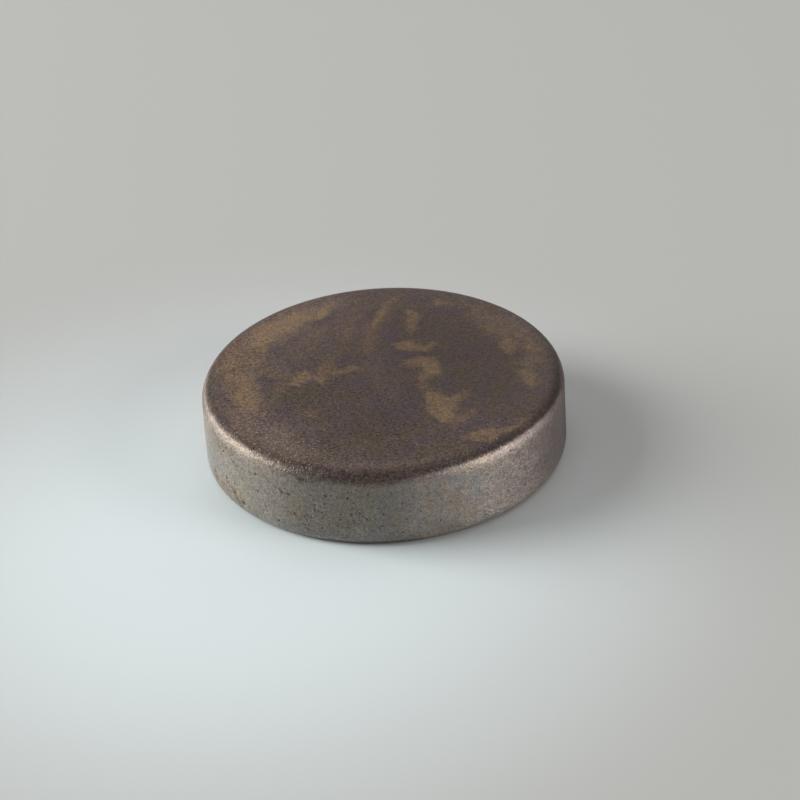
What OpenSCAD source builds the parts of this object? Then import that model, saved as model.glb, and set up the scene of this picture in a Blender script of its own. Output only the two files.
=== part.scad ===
// Cylinder magnet: one solid disc of magnet metal, pressed to shape, with rounded rims.
// Millimetres. +Z is the magnet's axis, and the lower face lies on z = 0.

/* [Disc] */
// Diameter of the round wall
magnet_d = 19.4; // [8:0.1:60]
// Height from the lower face to the upper face
magnet_h = 4.4; // [2.5:0.1:30]

/* [Rims] */
// Radius of the worn rim round the upper face
top_rim_r = 0.8; // [0.1:0.05:1.2]
// Radius of the rim round the lower face
bottom_rim_r = 0.5; // [0.1:0.05:1.2]

/* [Finish] */
// Colour of the bare metal
metal_colour = "#6d6862"; // ["#6d6862":bare metal, "#b9b9bb":plated, "#33302e":ferrite]

/* [Hidden] */
$fn = 180;

// Radius of the round wall
magnet_r = magnet_d / 2;

// Half of the disc's section, to the right of the axis. The circles are tangent to a face and to the wall,
// so each rim leaves the face and meets the wall without an edge.
module half_section() {
    top_rim_x = magnet_r - top_rim_r;
    top_rim_z = magnet_h - top_rim_r;
    bottom_rim_x = magnet_r - bottom_rim_r;

    // From the upper face down to the lower rim
    translate([0, bottom_rim_r])
        square([top_rim_x, magnet_h - bottom_rim_r]);
    // From the lower face up to the upper rim
    square([bottom_rim_x, top_rim_z]);
    // The straight stretch of the wall
    translate([0, bottom_rim_r])
        square([magnet_r, top_rim_z - bottom_rim_r]);
    translate([top_rim_x, top_rim_z])
        circle(r = top_rim_r);
    translate([bottom_rim_x, bottom_rim_r])
        circle(r = bottom_rim_r);
}

// The magnet is turned from its section in one piece
module magnet() {
    color(metal_colour)
        rotate_extrude()
            half_section();
}

magnet();
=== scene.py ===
# %% [markdown]
# # A bare cylinder magnet
#
# The real thing is one disc of magnet metal, 19.4 mm across and 4.4 mm high. It was pressed and sintered
# from powder, ground flat on both faces and tumbled with others, which rounded its rims. Years of handling
# left a thin brown-black film on the faces with golden tarnish stains in it, and small dark pits round the
# wall.
#
# The disc itself comes ready made in the frame, as a plain solid. This lesson gives it its skin: a fine
# mesh of the same size whose pits and nicks are real, and one metal finish that is painted by rules.

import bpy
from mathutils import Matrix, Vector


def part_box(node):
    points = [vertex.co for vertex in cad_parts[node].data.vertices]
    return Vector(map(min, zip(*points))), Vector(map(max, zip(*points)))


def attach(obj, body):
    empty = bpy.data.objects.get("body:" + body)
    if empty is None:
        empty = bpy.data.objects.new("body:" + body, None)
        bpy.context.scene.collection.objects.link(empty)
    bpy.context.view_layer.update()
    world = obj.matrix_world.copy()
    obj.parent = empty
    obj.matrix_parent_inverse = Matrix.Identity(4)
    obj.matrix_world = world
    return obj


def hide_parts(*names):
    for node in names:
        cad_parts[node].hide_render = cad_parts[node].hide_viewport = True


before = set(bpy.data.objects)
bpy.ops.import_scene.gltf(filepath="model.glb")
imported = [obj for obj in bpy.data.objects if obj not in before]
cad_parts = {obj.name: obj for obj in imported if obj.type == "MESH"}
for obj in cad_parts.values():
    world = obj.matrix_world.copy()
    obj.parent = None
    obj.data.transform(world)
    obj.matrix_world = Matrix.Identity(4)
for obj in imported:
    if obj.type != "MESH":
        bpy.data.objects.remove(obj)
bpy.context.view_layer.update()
print("nodes in the frame:", sorted(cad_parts))

# %% Tools and the two lengths that set everything
import functools
import itertools
import math

import bpy
import numpy as np
from mathutils import Matrix, Vector

MM = 0.001
disc_low, disc_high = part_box("magnet")
RADIUS = (disc_high.x - disc_low.x) / 2
HEIGHT = disc_high.z - disc_low.z
print(f"disc: {2 * RADIUS / MM:.2f} mm across, {HEIGHT / MM:.2f} mm high")

# %% [markdown]
# ## The camera
#
# A small thing is shot from close by with a long lens, which keeps its circles from looking stretched. The
# camera could be aimed with a constraint, but a plain look-at rotation is easier to read: stand at a
# distance and a height angle, look at a point, then lean the camera a little to one side.

# %% Camera
CAMERA_DISTANCE = 183.34 * MM
CAMERA_ELEVATION = math.radians(33.1)
CAMERA_AIM = Vector((0.864, 0.853, 2.2)) * MM
CAMERA_LEAN = math.radians(3.64)
CAMERA_LENS, CAMERA_SENSOR = 152.84, 36  # in plain millimetres, as Blender asks for them


def direction(azimuth, elevation):
    """Unit vector to a place round the disc: azimuth 0 is towards the camera (-Y), 90 to its right (+X)."""
    flat = math.cos(elevation)
    return Vector((flat * math.sin(azimuth), -flat * math.cos(azimuth), math.sin(elevation)))


def aimed(place, target, lean=0.0):
    """World matrix of a camera or lamp that looks at target, leaned clockwise about its line of sight."""
    turn = (target - place).to_track_quat("-Z", "Y").to_matrix().to_4x4()
    return Matrix.Translation(place) @ turn @ Matrix.Rotation(-lean, 4, "Z")


camera = bpy.data.objects.new("camera", bpy.data.cameras.new("camera"))
bpy.context.collection.objects.link(camera)
camera.data.lens = CAMERA_LENS
camera.data.sensor_width = CAMERA_SENSOR
camera.data.clip_start = 10 * MM
camera.matrix_world = aimed(CAMERA_DISTANCE * direction(0, CAMERA_ELEVATION), CAMERA_AIM, CAMERA_LEAN)
bpy.context.scene.camera = camera
bpy.context.scene.view_settings.view_transform = "Standard"
print(f"camera {camera.location.length / MM:.0f} mm away, lens {CAMERA_LENS} mm")

# %% [markdown]
# ## The studio
#
# Bare metal has next to no colour of its own: it shows what stands round it. So the studio is built for
# its reflections. Two softboxes stand low, one to the left and a little behind and one to the right in
# front, and they draw the two bright streaks on the rounded rim, which a painted highlight on the rim
# shapes further. Between and above them the room is dim, which gives the dark line along the front of the
# rim, deepened by painted shade on the rim. A third lamp, higher on the left, lights the floor and throws
# the soft shadow to the right, and a weak fourth one fills that shadow from above. These two are hidden
# from glossy rays, because a third streak would not belong there.

# %% Lamps
LAMP_DISTANCE = 0.5  # metres from the disc


def softbox(name, azimuth, elevation, width, radiance, colour=(1, 1, 1), in_metal=True):
    """Square area lamp facing the disc. Its power is pi times its area times the brightness of its face."""
    data = bpy.data.lights.new(name, "AREA")
    data.shape = "SQUARE"
    data.size = width
    data.energy = math.pi * width * width * radiance
    data.color = colour
    lamp = bpy.data.objects.new(name, data)
    bpy.context.collection.objects.link(lamp)
    place = LAMP_DISTANCE * direction(math.radians(azimuth), math.radians(elevation))
    lamp.matrix_world = aimed(place, Vector((0, 0, HEIGHT / 2)))
    lamp.visible_glossy = in_metal
    lamp.visible_camera = False
    return lamp


# azimuth and elevation in degrees, width in metres, brightness
left_box = softbox("left_softbox", -105, 19, 0.26, 5.2, (1.0, 0.97, 0.93))
right_box = softbox("right_softbox", 66, 20, 0.24, 5.2, (1.0, 0.97, 0.94))
floor_lamp = softbox("floor_lamp", -98, 27, 0.34, 6.2, (0.96, 1.0, 1.0), in_metal=False)
fill_lamp = softbox("fill_lamp", 150, 75, 0.40, 0.7, (0.96, 1.0, 1.0), in_metal=False)
print("lamps:", [lamp.name for lamp in (left_box, right_box, floor_lamp, fill_lamp)])

# %% [markdown]
# The room itself is the world's colour. It is dim above and in front, and lighter low down behind the disc,
# because the flat upper face reflects that part of the room into the camera. The camera itself sees an even
# grey. A world and a finish are both trees of nodes, so the helpers that build them come first.

# %% Helpers for nodes
def plug(tree, value, socket):
    """A number set on a socket, or another socket linked to it."""
    if isinstance(value, bpy.types.NodeSocket):
        tree.links.new(value, socket)
    elif value is not None:
        socket.default_value = value


def add(tree, kind, **settings):
    """New node in a tree. Settings name a property of the node, or an input by its label or its number."""
    node = tree.nodes.new(kind)
    for key, value in settings.items():
        if hasattr(node, key):
            setattr(node, key, value)
        else:
            label = int(key[1:]) if key[1:].isdigit() else key.replace("_", " ")
            plug(tree, value, node.inputs[label])
    return node


def layer(tree, under, over, mask=1.0, blend="MIX"):
    """Mix of two colours or sockets by a mask."""
    under, over = (c if isinstance(c, bpy.types.NodeSocket) else (*c, 1) for c in (under, over))
    mixed = add(tree, "ShaderNodeMix", data_type="RGBA", blend_type=blend, _0=mask, _6=under, _7=over)
    return mixed.outputs[2]


def ramp(tree, value, low, high, to_low=0.0, to_high=1.0, shape="SMOOTHSTEP"):
    """Value carried from one range to another along an S-shaped curve, or evenly, and cut off at the
    ends."""
    ends = {"From_Min": low, "From_Max": high, "To_Min": to_low, "To_Max": to_high}
    return add(tree, "ShaderNodeMapRange", interpolation_type=shape, Value=value, **ends).outputs["Result"]


def vectors(tree, operation, first, second):
    """Vector maths node on vectors or sockets."""
    return add(tree, "ShaderNodeVectorMath", operation=operation, _0=first, _1=second)


def maths(tree, operation, first, second=None, clamp=False):
    """Maths node on numbers or sockets, and its output."""
    return add(tree, "ShaderNodeMath", operation=operation, use_clamp=clamp, _0=first, _1=second).outputs[0]


print("node helpers ready")

# %% Room
ROOM_DIM = (0.17, 0.16, 0.155)
ROOM_BACK = (0.52, 0.49, 0.47)
ROOM_SEEN = (0.52, 0.53, 0.52)
BACK_WAY = (-0.3, 0.85, 0.3)  # the way to the lighter part
BACK_EDGE = (0.2, 0.95)  # how far along it a direction leads where the room brightens, and is brightest

world = bpy.data.worlds.new("room")
bpy.context.scene.world = world
world.use_nodes = True
sky = world.node_tree
sky.nodes.clear()
behind = vectors(sky, "DOT_PRODUCT", add(sky, "ShaderNodeTexCoord").outputs["Generated"], BACK_WAY)
room = layer(sky, ROOM_DIM, ROOM_BACK, ramp(sky, behind.outputs["Value"], *BACK_EDGE))
room = layer(sky, room, ROOM_SEEN, add(sky, "ShaderNodeLightPath").outputs["Is Camera Ray"])
lit = add(sky, "ShaderNodeBackground", Color=room)
add(sky, "ShaderNodeOutputWorld", Surface=lit.outputs["Background"])
print("room:", ROOM_DIM, "and behind:", ROOM_BACK)

# %% [markdown]
# ## The floor
#
# One wide pale sheet with a faint sheen, like frosted glass on a bench. Its colour drifts from a cool
# blue-green in front of the disc to a plain grey further off, and the lighter cool part is centred close to
# the disc: a painted pool of light that lifts the disc's own shade on the floor. The sheen matters for the
# disc: it throws the light of the softboxes up against the wall, which would look dead over a chalky floor.
# To the camera alone the floor is drawn matte, and darker under the softboxes, or it would glare in a view
# from low down.

# %% Floor
FLOOR_SIDE = 1.6  # metres
FLOOR_COOL = (0.720, 0.790, 0.808)
FLOOR_GREY = (0.500, 0.500, 0.490)
FLOOR_ROUGH, FLOOR_GLOSS = 0.32, 0.5
# the floor is painted lightest here, close to the disc: a painted pool of light that lifts the disc's own
# shade
FLOOR_BRIGHTEST = (-0.008, -0.009, 0.0)
COOL_REACH = (0.005, 0.032)  # metres from the brightest place, between which cool gives way to grey
POOL_REACH, POOL_CURVE = 0.42, 2.4  # metres from the foot of a softbox, and how steeply its dark pool ends
FLOOR_GAP = 0.01 * MM  # the floor lies this far under the disc, so that the two never share a plane

bpy.ops.mesh.primitive_plane_add(size=FLOOR_SIDE, location=(0, 0, -FLOOR_GAP))
floor = bpy.context.object
floor.name = "floor"

pale = bpy.data.materials.new("pale_floor")
pale.use_nodes = True
tree = pale.node_tree
shader = tree.nodes["Principled BSDF"]
place = add(tree, "ShaderNodeTexCoord").outputs["Object"]
seen = add(tree, "ShaderNodeLightPath").outputs["Is Camera Ray"]
away = vectors(tree, "DISTANCE", place, FLOOR_BRIGHTEST).outputs["Value"]
tone = layer(tree, FLOOR_COOL, FLOOR_GREY, ramp(tree, away, *COOL_REACH))
for lamp in (left_box, right_box):
    away = vectors(tree, "DISTANCE", place, (lamp.location.x, lamp.location.y, 0)).outputs["Value"]
    dim = maths(tree, "POWER", ramp(tree, away, 0.0, POOL_REACH, shape="LINEAR"), POOL_CURVE)
    tone = layer(tree, tone, ramp(tree, seen, 0.0, 1.0, 1.0, dim, "LINEAR"), 1.0, "MULTIPLY")
plug(tree, tone, shader.inputs["Base Color"])
plug(tree, FLOOR_ROUGH, shader.inputs["Roughness"])
plug(tree, ramp(tree, seen, 0.0, 1.0, FLOOR_GLOSS, 0.0, "LINEAR"), shader.inputs["Specular IOR Level"])
floor.data.materials.append(pale)
print("floor:", FLOOR_SIDE, "m square")

# %% [markdown]
# ## The skin: a face that has no pole
#
# A disc could be drawn as rings round a centre point, but the triangles get ever thinner towards that point
# and most of them are wasted there. Here a square grid is bent into a disc instead: each square ring of the
# grid becomes a round ring, and its points spread evenly round it. All triangles stay about the same size.

# %% Square grid to disc
CELLS = 160  # cells along one side of the grid: about 0.1 mm each on the disc


def square_to_disc(cells):
    """Points of a unit disc from a square grid. The longer of the two coordinates becomes the radius, and
    the shorter one over the longer, times an eighth of a turn, becomes the angle."""
    line = np.linspace(-1, 1, cells + 1)
    across, along = np.meshgrid(line, line, indexing="ij")
    wide = np.abs(across) >= np.abs(along)
    radius = np.where(wide, across, along)
    other = np.where(wide, along, across)
    eighth = math.pi / 4 * np.divide(other, radius, out=np.zeros_like(radius), where=radius != 0)
    angle = np.where(wide, eighth, math.pi / 2 - eighth)
    return radius * np.cos(angle), radius * np.sin(angle)


def border(grid):
    """Numbers of the grid's outer points, once round and anticlockwise."""
    return np.concatenate([grid[-1, :-1], grid[:0:-1, -1], grid[0, :0:-1], grid[:-1, 0]])


disc_x, disc_y = square_to_disc(CELLS)
AROUND = 4 * CELLS
spacing = 2 * math.pi * RADIUS / AROUND
print(f"{disc_x.size} points on a face, {AROUND} round its edge, {spacing / MM:.3f} mm apart")

# %% [markdown]
# ## The skin: rims and wall
#
# The rims and the wall are one profile carried round the axis. Going down, it is a quarter circle that
# leaves the upper face without an edge, a straight wall, and a smaller quarter circle into the lower face.
# Each point of the profile also has the way that the surface faces there, which the wear needs later.

# %% Profile
TOP_RIM = 0.8 * MM
BOTTOM_RIM = 0.5 * MM
WALL_TOP = HEIGHT - TOP_RIM
QUARTER = math.pi / 2
STEP = 0.095 * MM  # between points of the profile


def spaced(first, last, length):
    """Even numbers from first to last, one for each step along a length."""
    return np.linspace(first, last, round(length / STEP) + 1)


def profile():
    """Radius, height and tilt from straight up of each profile point. On a rim the tilt runs from 0 to 90
    degrees, the radius is that of the rim's centre plus the rim's own times the sine of the tilt, and the
    height goes likewise with the cosine."""
    top = spaced(0, QUARTER, TOP_RIM * QUARTER)
    wall = spaced(WALL_TOP, BOTTOM_RIM, WALL_TOP - BOTTOM_RIM)[1:-1]
    low = spaced(QUARTER, 2 * QUARTER, BOTTOM_RIM * QUARTER)
    tilt = np.concatenate([top, np.full(wall.size, QUARTER), low])
    rim = np.concatenate([np.full(top.size, TOP_RIM), np.zeros(wall.size), np.full(low.size, BOTTOM_RIM)])
    radius = np.where(rim > 0, RADIUS - rim + rim * np.sin(tilt), RADIUS)
    height = np.concatenate([WALL_TOP + TOP_RIM * np.cos(top), wall, BOTTOM_RIM + BOTTOM_RIM * np.cos(low)])
    return radius, height, tilt


ring_radius, ring_height, ring_tilt = profile()
print(f"{ring_radius.size} rings from {ring_height[0] / MM:.2f} mm down to {ring_height[-1] / MM:.2f} mm")

# %% One closed skin
top_grid = np.arange(disc_x.size).reshape(disc_x.shape)
bottom_grid = top_grid + disc_x.size
inner_rings = ring_radius.size - 2
band = 2 * disc_x.size + np.arange(inner_rings * AROUND).reshape(inner_rings, AROUND)
rings = np.vstack([border(top_grid), band, border(bottom_grid)])

edge_x, edge_y = disc_x.ravel()[border(top_grid)], disc_y.ravel()[border(top_grid)]


def upright(x, y, height, tilt):
    """Places, and the way the surface faces at each: away from the axis by the tilt's sine, and up by its
    cosine."""
    height, tilt = np.broadcast_to(height, x.shape), np.broadcast_to(tilt, x.shape)
    away = np.stack([x, y], -1) / np.maximum(np.hypot(x, y), 1e-9)[..., None]
    facing = np.concatenate([away * np.sin(tilt)[..., None], np.cos(tilt)[..., None]], -1)
    return np.stack([x, y, height], -1).reshape(-1, 3), facing.reshape(-1, 3)


flat_x, flat_y = disc_x * ring_radius[0], disc_y * ring_radius[0]
top_places, top_facing = upright(flat_x, flat_y, HEIGHT, 0.0)
flat_x, flat_y = disc_x * ring_radius[-1], disc_y * ring_radius[-1]
low_places, low_facing = upright(flat_x, flat_y, 0.0, math.pi)
radius, height, turned = (values[1:-1, None] for values in (ring_radius, ring_height, ring_tilt))
band_places, band_facing = upright(edge_x * radius, edge_y * radius, height, turned)
places = np.vstack([top_places, low_places, band_places])
facing = np.vstack([top_facing, low_facing, band_facing])
print(f"{len(places)} points in the skin")

# %% [markdown]
# ## Chance that stays the same
#
# Wear looks right only when it is irregular, but the disc has to come out the same on every run. So the
# random numbers come from the place itself: whole-number coordinates are scrambled into a number between 0
# and 1. Smooth noise blends such numbers between the corners of a cubic lattice.

# %% Noise
def scatter(cell, seed):
    """A fixed random number from 0 to 1 for each lattice place: its coordinates times large odd numbers,
    mixed."""
    mixed = cell[:, 0] * 73856093 ^ cell[:, 1] * 19349663 ^ cell[:, 2] * 83492791 ^ seed * 668265263
    mixed = (mixed ^ mixed >> 13) * 1274126177 & 0xFFFFFFFF
    mixed = (mixed ^ mixed >> 16) * 974634777 & 0xFFFFFFFF
    return (mixed >> 8 & 0xFFFFFF) / 0xFFFFFF


def noise(at, size, seed):
    """Smooth noise from -1 to 1 with features about one size across: the eight lattice corners round a
    place, each weighed by how near it is along every axis on an S-shaped curve."""
    lattice = at / size
    corner = np.floor(lattice).astype(np.int64)
    part = lattice - corner
    part = part * part * (3 - 2 * part)
    total = np.zeros(len(at))
    for step in itertools.product((0, 1), repeat=3):
        weight = np.prod(np.where(step, part, 1 - part), axis=1)
        total += weight * scatter(corner + np.array(step), seed)
    return 2 * total - 1


def pits(at, size, share, seed):
    """Depth from 0 to 1 of round pits. A share of the lattice cells holds a pit, with its centre at random
    near the middle of the cell and its radius from 0.22 to 0.52 of the cell, more often small. The depth is
    one less the squared distance to the centre over the radius."""
    home = np.floor(at / size).astype(np.int64)
    depth = np.zeros(len(at))
    for step in itertools.product((-1, 0, 1), repeat=3):
        cell = home + np.array(step)
        centre = np.stack([cell[:, k] + 0.2 + 0.6 * scatter(cell, seed + k) for k in range(3)], -1) * size
        radius = size * (0.22 + 0.3 * scatter(cell, seed + 3) ** 2)
        near = 1 - ((at - centre) ** 2).sum(1) / radius**2
        depth = np.maximum(depth, np.where(scatter(cell, seed + 4) < share, near, 0))
    return depth


print("noise at the first points:", np.round(noise(places[:4], 0.5 * MM, 1), 2))

# %% [markdown]
# ## Marks that have a place
#
# The golden stains and the rust lie where they lie, so they are drawn in millimetres. A stain with
# a clear shape is an outline of corners. A faint or narrow one is a chain of round dabs, given as across,
# along and radius. The number that leads each stain is its strength. Along the wall the same is done with
# the angle round the disc and the height. All outlines are then frayed by moving every place a little by
# noise, because a liquid dries along an irregular line.

# %% Drawing tools
def gap_to_bar(flat, a, b):
    """Distance of flat places to the line from a to b, and the share of its length at the nearest point."""
    a, b = np.array(a, float), np.array(b, float)
    along = np.clip(((flat - a) @ (b - a)) / max(((b - a) ** 2).sum(), 1e-9), 0, 1)
    return np.hypot(*(flat - a - along[:, None] * (b - a)).T), along


def inside_chain(flat, dabs):
    """How deep places lie in a chain of bars with round ends: the bar's radius less the distance to it."""
    deep = np.full(len(flat), -9.0)
    for start, end in zip(dabs, dabs[1:] or dabs):
        gap, along = gap_to_bar(flat, start[:2], end[:2])
        deep = np.maximum(deep, start[2] + (end[2] - start[2]) * along - gap)
    return deep


def inside_outline(flat, corners):
    """How deep places lie in a closed outline: the distance to its nearest side, negative outside. A place
    is inside when a line drawn from it to the right crosses the sides an odd number of times."""
    gap = np.full(len(flat), 9.0)
    odd = np.zeros(len(flat), bool)
    for a, b in zip(corners, corners[1:] + corners[:1]):
        gap = np.minimum(gap, gap_to_bar(flat, a, b)[0])
        crosses = (a[1] > flat[:, 1]) != (b[1] > flat[:, 1])
        odd ^= crosses & (flat[:, 0] < a[0] + (flat[:, 1] - a[1]) * (b[0] - a[0]) / ((b[1] - a[1]) or 1e-9))
    return np.where(odd, gap, -gap)


def painted(flat, marks, soft):
    """Soft field of marks: 0.5 on an outline, rising to 1 and falling to 0 over the soft width, times
    strength. Corners with two numbers make an outline, dabs with three make a chain."""
    field = np.zeros(len(flat))
    for strength, *points in marks.values():
        deep = (inside_outline if len(points[0]) == 2 else inside_chain)(flat, points)
        field = np.maximum(field, strength * np.clip(0.5 + deep / soft, 0, 1))
    return field


def frayed(flat, at, reach, size, seed):
    """Flat places moved by up to reach in both ways, by two noises of one size."""
    return flat + reach * np.stack([noise(at, size, seed), noise(at, size, seed + 7)], -1)


print("drawing tools ready")

# %% Golden stains on the upper face
HAZY_GOLD = {
    "upper left band": (
        0.84, (-2.8, 7.5), (-3.9, 7.15), (-4.8, 7.0), (-5.6, 6.5), (-6.4, 6.0), (-6.9, 5.2), (-7.1, 4.4),
        (-6.9, 3.8), (-6.4, 3.3), (-6.0, 3.9), (-5.5, 4.5), (-5.0, 4.8), (-4.5, 5.2), (-3.9, 5.7),
        (-3.4, 6.3), (-2.9, 6.9),
    ),
    "upper left spots 1": (1.1, (-3.1, 7.2, 0.3), (-3.5, 6.7, 0.35), (-4.2, 6.4, 0.2), (-4.4, 7.0, 0.15)),
    "upper left spots 2": (0.9, (-4.6, 6.1, 0.15), (-5.1, 5.5, 0.3), (-5.3, 5.0, 0.25)),
    "upper left spots 3": (0.9, (-6.2, 5.9, 0.25), (-5.9, 5.2, 0.2), (-6.4, 4.9, 0.2)),
    "upper left spots 4": (0.95, (-6.7, 4.6, 0.2), (-6.3, 4.1, 0.3), (-6.4, 3.6, 0.25)),
    "left side, upper": (0.75, (-7.2, 2.8), (-6.6, 2.9), (-6.5, 2.4), (-6.7, 1.9), (-7.3, 2.0)),
    "left side, outer": (0.7, (-8.4, 2.9, 0.3), (-8.3, 2.2, 0.35), (-8.6, 1.5, 0.3)),
    "left side, lower": (
        0.86, (-7.9, 1.1), (-7.2, 1.2), (-6.8, 0.4), (-6.7, -0.2), (-6.6, -0.9), (-6.6, -1.7), (-6.5, -2.3),
        (-6.8, -2.9), (-7.4, -2.8), (-7.7, -1.7), (-7.6, -0.6), (-8.1, 0.3),
    ),
    "left bridge": (0.5, (-6.4, 1.3, 0.2), (-5.9, 1.0, 0.25), (-5.5, 0.5, 0.15)),
    "left of the streak": (0.5, (-5.6, -0.5, 0.2), (-5.65, -1.1, 0.2)),
}
GOLD = {
    "streak head": (
        0.95, (-4.95, -0.35), (-4.95, 0.2), (-4.65, 0.65), (-4.2, 0.85), (-3.65, 0.55), (-3.3, 0.6),
        (-2.9, -0.05), (-3.25, -0.35), (-3.6, 0.1), (-4.1, -0.05), (-4.6, -0.4),
    ),
    "streak arm": (
        0.4, (-3.45, 0.5), (-3.4, 1.3), (-2.95, 1.75), (-2.5, 2.1), (-2.35, 1.8), (-2.7, 1.1), (-2.7, 0.3),
    ),
    "streak tail": (
        0.8, (-2.9, 0.85), (-2.1, 0.85), (-1.5, 1.15), (-1.05, 0.8), (-1.6, 0.5), (-2.4, 0.35), (-2.9, 0.1),
    ),
    "far streak": (
        0.62, (0.95, 7.95), (0.6, 7.1), (0.5, 6.3), (0.1, 5.4), (-0.3, 4.9), (-0.5, 5.2), (-0.15, 6.3),
        (0.2, 7.05), (0.65, 7.7),
    ),
    "far dab": (
        0.85, (1.45, 6.6), (1.9, 6.5), (2.25, 6.1), (2.3, 5.4), (2.1, 4.7), (1.8, 4.2), (1.5, 4.6),
        (1.5, 5.3), (1.4, 6.0),
    ),
    "far dab, tail": (0.6, (1.75, 4.6, 0.2), (1.65, 3.8, 0.14)),
    "far right dab": (0.62, (3.2, 7.5, 0.25), (3.3, 7.0, 0.3), (3.9, 6.9, 0.15)),
    "bar": (
        0.85, (0.8, 3.25), (1.15, 3.45), (2.0, 3.15), (2.3, 2.65), (2.8, 3.1), (3.0, 2.8), (2.6, 2.1),
        (2.0, 2.15), (1.2, 2.4), (0.85, 2.65),
    ),
    "hook": (
        0.95, (1.25, 1.3), (2.0, 1.5), (2.95, 1.35), (3.15, 0.6), (3.1, -0.2), (2.8, -0.5), (2.4, -0.3),
        (2.2, 0.3), (1.9, 0.6), (1.4, 0.75),
    ),
    "neck": (0.5, (2.2, -0.3, 0.25), (2.1, -1.0, 0.25), (2.2, -1.9, 0.18)),
    "boot": (
        1.05, (2.35, -1.75), (2.95, -2.1), (3.25, -2.6), (3.6, -2.6), (3.95, -2.4), (4.1, -2.7),
        (3.95, -3.1), (3.8, -3.4), (3.75, -3.9), (3.5, -4.5), (3.35, -5.0), (3.0, -5.0), (2.6, -4.5),
        (2.25, -3.8), (2.15, -2.95), (2.15, -2.2),
    ),
    "lower right band": (
        0.9, (3.9, -6.7), (4.3, -6.2), (4.9, -5.9), (5.6, -5.9), (5.95, -6.3), (5.7, -6.9), (5.3, -7.2),
        (4.7, -7.0),
    ),
    "lower right band, end": (0.65, (5.8, -6.2, 0.35), (6.6, -5.9, 0.3), (7.4, -5.3, 0.2)),
    "right side 1": (0.42, (5.65, 4.3), (6.1, 4.6), (6.5, 4.0), (6.4, 3.4), (5.95, 3.5)),
    "right side 2": (
        0.6, (6.3, 2.6), (6.8, 2.9), (7.4, 2.6), (7.35, 1.8), (7.0, 1.1), (6.6, 1.3), (6.35, 1.9),
    ),
    "right side 3": (0.5, (7.8, 2.4), (8.3, 2.5), (8.6, 2.0), (8.5, 1.4), (7.95, 1.4), (7.7, 1.9)),
    "right side 4": (0.4, (7.0, 0.3, 0.2), (7.8, 0.5, 0.25), (8.6, 0.3, 0.25)),
    "right side 5": (
        0.62, (7.15, -0.5), (7.7, -0.3), (8.2, -1.0), (8.3, -1.8), (8.0, -2.3), (7.6, -2.1), (7.3, -1.3),
    ),
}
print(len(GOLD) + len(HAZY_GOLD), "golden stains")

# %% Brown, violet and pale places
BROWN = {
    "boot tail": (1.1, (3.4, -5.2, 0.25), (3.8, -4.8, 0.28), (4.3, -4.4, 0.22), (4.6, -4.1, 0.14)),
    "neck": (0.75, (2.2, -0.4, 0.3), (2.1, -1.2, 0.28), (2.2, -1.9, 0.22)),
    "boot arm": (1.1, (4.1, -2.3, 0.28), (4.25, -2.2, 0.22), (4.1, -2.9, 0.2)),
    "left side": (0.75, (-7.6, 4.2, 0.5), (-8.1, 2.2, 0.7), (-7.9, 0.0, 0.7), (-7.6, -2.2, 0.5)),
    "right side": (0.55, (6.0, 4.2, 0.4), (6.8, 3.8, 0.5), (7.2, 3.2, 0.4), (6.9, 2.2, 0.5)),
    "right side 2": (0.6, (8.1, 1.9, 0.4), (8.3, 0.6, 0.3)),
    "right side 3": (0.6, (7.3, -0.4, 0.3), (7.9, -1.7, 0.3)),
    "left bottom": (0.5, (-7.6, -2.6, 0.4), (-7.9, -3.6, 0.4), (-7.5, -4.6, 0.4), (-6.9, -5.6, 0.3)),
    "lower left": (0.35, (-6.4, -3.0, 0.4), (-6.2, -3.8, 0.3)),
    "orange spot": (1.1, (-4.0, -3.3, 0.16), (-3.8, -3.5, 0.2)),
    "streak arm": (0.9, (-3.1, 0.8, 0.3), (-2.9, 1.5, 0.35), (-2.6, 2.0, 0.2)),
    "round the eye": (
        0.8, (-6.4, 1.2, 0.25), (-5.7, 1.0, 0.25), (-5.4, 0.3, 0.15), (-5.4, -0.8, 0.2), (-5.6, -1.3, 0.15),
    ),
    "far streak": (
        0.85, (0.8, 7.8, 0.2), (0.3, 6.5, 0.3), (-0.1, 5.4, 0.35), (-0.5, 4.3, 0.4), (-0.6, 3.0, 0.3),
        (-0.6, 2.2, 0.2),
    ),
    "far middle": (0.6, (-1.0, 6.6, 0.25), (-1.9, 5.1, 0.45), (-1.8, 4.1, 0.5)),
    "near band": (0.4, (-2.7, -6.2, 0.3), (-0.2, -6.5, 0.35), (1.2, -6.1, 0.3)),
    "far left": (0.35, (-2.4, 7.6, 0.3), (-1.0, 7.9, 0.4), (0.0, 7.7, 0.2)),
    "centre": (0.35, (-3.0, 2.0, 0.4), (-1.3, 3.6, 0.3), (-0.5, 1.8, 0.4), (-0.1, -0.9, 0.4)),
    "lower middle": (0.35, (-2.4, -3.9, 0.25), (-2.2, -5.0, 0.3), (-2.6, -5.8, 0.2)),
    "near right": (0.5, (2.8, -8.1, 0.3), (3.3, -7.6, 0.35), (4.4, -7.2, 0.2)),
}
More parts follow.
